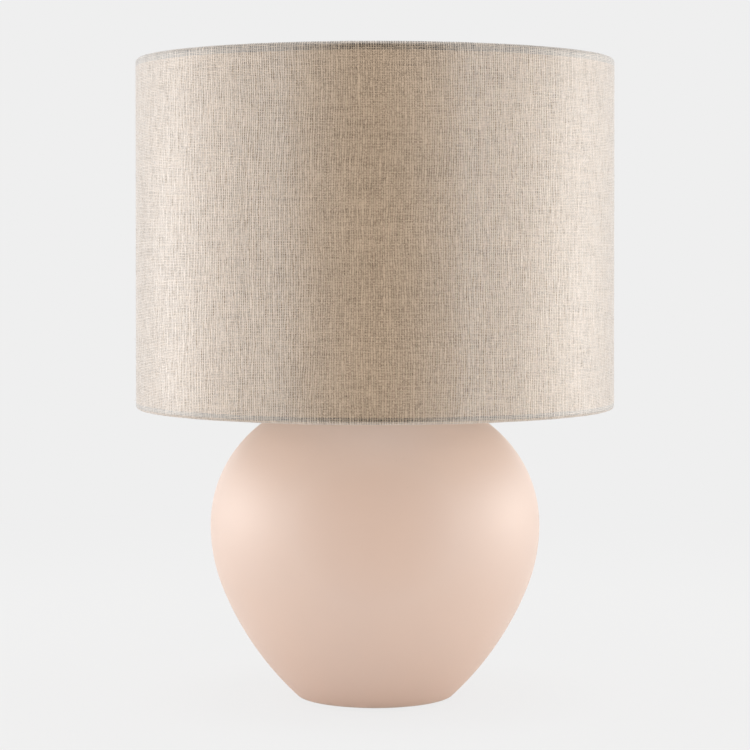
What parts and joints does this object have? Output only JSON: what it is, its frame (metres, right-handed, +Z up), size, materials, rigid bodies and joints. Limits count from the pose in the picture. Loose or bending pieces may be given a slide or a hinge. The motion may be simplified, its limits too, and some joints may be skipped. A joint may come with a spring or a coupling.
{
  "type": "table lamp with shade",
  "caption": "Table lamp with a rounded matte blush ceramic body on a small foot, a linen drum shade on a harp and spider, a finial, a rotary switch and a screw-in bulb.",
  "frame": {"origin": "middle of the felt pad's underside, on the table", "axes": "+Z up along the lamp's axis, -Y towards the front where the switch knob is, +Y towards the cord outlet, +X to the right seen from the front"},
  "size_m": [0.3, 0.3, 0.4063],
  "materials": {
    "ceramic": "matte",
    "fibreboard": "matte",
    "felt": "matte",
    "nylon": "satin",
    "zinc_steel": "satin",
    "fibre": "matte",
    "brass": "satin",
    "black_moulding": "satin",
    "board": "matte",
    "bulb_metal": "satin",
    "bulb_vitrite": "gloss",
    "bulb_glass": "gloss",
    "phosphor": "matte",
    "white_wire": "gloss",
    "styrene": "matte",
    "linen": "matte"
  },
  "bodies": {
    "base": {"ceramic_body": "ceramic", "foot_plate": "fibreboard", "felt_pad": "felt", "cord_grommet": "nylon", "threaded_nipple": "zinc_steel", "lower_fibre_washer": "fibre", "lower_steel_washer": "zinc_steel", "lower_hex_nut": "zinc_steel", "upper_fibre_washer": "fibre", "neck_cap": "brass", "harp_saddle": "brass", "upper_hex_nut": "brass", "socket_cap": "brass", "socket_set_screw": "zinc_steel", "socket_interior": "black_moulding", "terminal_screws": "zinc_steel", "socket_centre_contact": "brass", "socket_screw_shell": "brass", "insulating_sleeve": "board", "socket_shell": "brass"},
    "switch": {"switch_stem": "zinc_steel", "switch_knob": "black_moulding"},
    "bulb_tip": {"bulb_contact": "bulb_metal"},
    "bulb": {"bulb_insulator": "bulb_vitrite", "bulb_screw_base": "bulb_metal", "bulb_stem": "bulb_glass", "bulb_filaments": "phosphor", "bulb_glass": "bulb_glass"},
    "harp": {"harp_frame": "brass"},
    "ferrule_left": {"harp_ferrule_left": "brass"},
    "ferrule_right": {"harp_ferrule_right": "brass"},
    "stud": {"harp_stud": "brass"},
    "shade": {"spider_washer": "brass", "spider_arms": "white_wire", "shade_top_ring": "white_wire", "shade_bottom_ring": "white_wire", "shade_backing": "styrene", "shade_linen": "linen"},
    "finial_core": {"finial_insert": "brass"},
    "finial": {"finial_knob": "brass"}
  },
  "joints": [
    {"name": "switch_turn", "type": "hinge", "parent": "base", "child": "switch", "pos_m": [0, -0.016, 0.234], "axis": [0, -1, 0], "continuous": true},
    {"name": "bulb_rise", "type": "slide", "parent": "base", "child": "bulb_tip", "axis": [0, 0, 1], "range_m": [0, 0.01455]},
    {"name": "bulb_turn", "type": "hinge", "parent": "bulb_tip", "child": "bulb", "pos_m": [0, 0, 0.26], "axis": [0, 0, 1], "range_deg": [0, 1440]},
    {"name": "harp_lift", "type": "slide", "parent": "base", "child": "harp", "axis": [0, 0, 1], "range_m": [0, 0.035]},
    {"name": "ferrule_left_lift", "type": "slide", "parent": "harp", "child": "ferrule_left", "axis": [0, 0, 1], "range_m": [0, 0.014]},
    {"name": "ferrule_right_lift", "type": "slide", "parent": "harp", "child": "ferrule_right", "axis": [0, 0, 1], "range_m": [0, 0.014]},
    {"name": "shade_swivel", "type": "hinge", "parent": "harp", "child": "stud", "pos_m": [0, 0, 0.381], "axis": [0, 0, 1], "continuous": true},
    {"name": "shade_lift", "type": "slide", "parent": "stud", "child": "shade", "axis": [0, 0, 1], "range_m": [0, 0.22]},
    {"name": "finial_rise", "type": "slide", "parent": "shade", "child": "finial_core", "axis": [0, 0, 1], "range_m": [0, 0.00945]},
    {"name": "finial_turn", "type": "hinge", "parent": "finial_core", "child": "finial", "pos_m": [0, 0, 0.39], "axis": [0, 0, 1], "range_deg": [0, 3600]}
  ],
  "couplings": [
    {"joint": "bulb_rise", "follows": "bulb_turn", "m_per_rad": 0.00057773},
    {"joint": "finial_rise", "follows": "finial_turn", "m_per_rad": 0.00014972}
  ]
}
